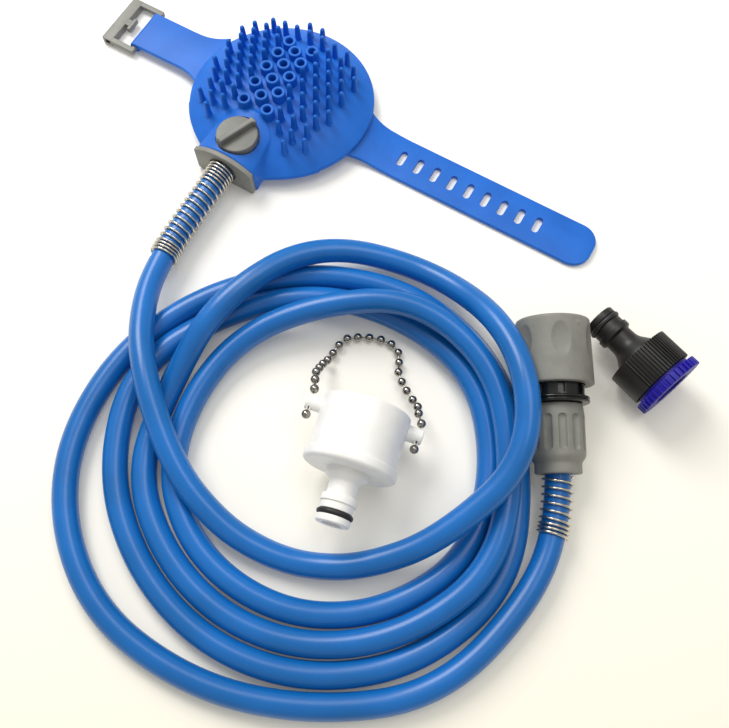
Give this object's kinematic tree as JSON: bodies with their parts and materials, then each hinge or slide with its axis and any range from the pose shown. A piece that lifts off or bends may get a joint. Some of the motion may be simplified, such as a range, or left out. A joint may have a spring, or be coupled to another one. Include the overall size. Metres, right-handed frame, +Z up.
{
  "type": "handheld bath sprayer",
  "caption": "Palm pad with spray nozzles and soft pins, straps and a flow knob, on a coiled hose with a quick connector, with a threaded tap adapter and a push-on faucet adapter on a ball chain",
  "frame": {"origin": "on the table under the handset's palm face, below the middle of the pad's neck side", "axes": "+Z up out of the palm face; +Y from the hose inlet to the pad's far edge; +X along the long strap"},
  "size_m": [0.371, 0.3291, 0.0442],
  "materials": {
    "blue_silicone": "satin",
    "grey_plastic": "fine matte",
    "dark_plastic": "satin",
    "black_rubber": "matte",
    "hose_blue": "glossy",
    "spring_steel": "bright",
    "violet_plastic": "satin",
    "white_plastic": "satin",
    "clear_plastic": "natural"
  },
  "bodies": {
    "handset": {"silicone_cover": "blue_silicone", "long_strap": "blue_silicone", "short_strap": "blue_silicone", "chamber_base": "grey_plastic", "chamber_top": "grey_plastic", "chamber_gasket": "black_rubber", "chamber_screws": "spring_steel", "valve_body": "clear_plastic", "inlet_plate": "grey_plastic", "inlet_barb": "clear_plastic", "hose": "hose_blue", "head_spring": "spring_steel", "tail_spring": "spring_steel", "connector_body": "dark_plastic", "hose_collet": "clear_plastic", "flange_ring": "dark_plastic", "socket_seal": "black_rubber"},
    "knob": {"flow_knob": "grey_plastic", "valve_spool": "clear_plastic", "spool_seal": "black_rubber"},
    "strap_buckle": {"buckle": "grey_plastic"},
    "hose_nut": {"connector_nut": "grey_plastic"},
    "sleeve": {"connector_sleeve": "grey_plastic", "return_spring": "spring_steel"},
    "lower_claw": {"claw_1": "clear_plastic"},
    "left_claw": {"claw_2": "clear_plastic"},
    "right_claw": {"claw_3": "clear_plastic"},
    "tap_adapter": {"tap_body": "dark_plastic", "tap_seal": "black_rubber", "tap_washer": "black_rubber"},
    "tap_reducer": {"reducer_ring": "violet_plastic"},
    "faucet_adapter": {"faucet_body": "white_plastic", "faucet_nipple": "white_plastic", "faucet_seal": "black_rubber", "faucet_grommet": "black_rubber"},
    "tether": {"ball_chain": "spring_steel"}
  },
  "joints": [
    {"name": "flow_turn", "type": "hinge", "parent": "handset", "child": "knob", "pos_m": [0, -0.033, 0.0185], "axis": [0, 0, 1], "range_deg": [-68, 22]},
    {"name": "buckle_swing", "type": "hinge", "parent": "handset", "child": "strap_buckle", "pos_m": [-0.092, 0.009, 0.00325], "axis": [0, 1, 0], "range_deg": [0, 120]},
    {"name": "nut_turn", "type": "hinge", "parent": "handset", "child": "hose_nut", "pos_m": [0.21502, -0.09219, 0.01483], "axis": [-0.4939, 0.8554, 0.1563], "continuous": true},
    {"name": "sleeve_pull", "type": "slide", "parent": "handset", "child": "sleeve", "axis": [0.4939, -0.8554, -0.1563], "range_m": [0, 0.0052], "stiffness_N_per_m": 1500, "springref_m": -0.002, "deforming": ["return_spring"]},
    {"name": "lower_claw_open", "type": "slide", "parent": "handset", "child": "lower_claw", "axis": [-0.0781, 0.1353, -0.9877], "range_m": [0, 0.001]},
    {"name": "left_claw_open", "type": "slide", "parent": "handset", "child": "left_claw", "axis": [-0.7109, -0.5007, 0.4939], "range_m": [0, 0.001]},
    {"name": "right_claw_open", "type": "slide", "parent": "handset", "child": "right_claw", "axis": [0.7891, 0.3653, 0.4939], "range_m": [0, 0.001]},
    {"name": "tap_adapter_away", "type": "slide", "parent": "handset", "child": "tap_adapter", "axis": [0.9352, -0.3497, 0.0561], "range_m": [0, 0.1]},
    {"name": "reducer_turn", "type": "hinge", "parent": "tap_adapter", "child": "tap_reducer", "pos_m": [0.24812, -0.04545, 0.01744], "axis": [-0.9352, 0.3497, -0.0561], "continuous": true},
    {"name": "faucet_adapter_lift", "type": "slide", "parent": "handset", "child": "faucet_adapter", "axis": [0, 0, 1], "range_m": [0, 0.15]},
    {"name": "tether_swing", "type": "hinge", "parent": "faucet_adapter", "child": "tether", "pos_m": [0.1352, -0.13391, 0.0222], "axis": [0.9629, 0.2312, -0.1392], "range_deg": [0, 25]}
  ],
  "couplings": [
    {"joint": "lower_claw_open", "follows": "sleeve_pull", "ratio": 0.19231},
    {"joint": "left_claw_open", "follows": "sleeve_pull", "ratio": 0.19231},
    {"joint": "right_claw_open", "follows": "sleeve_pull", "ratio": 0.19231}
  ]
}
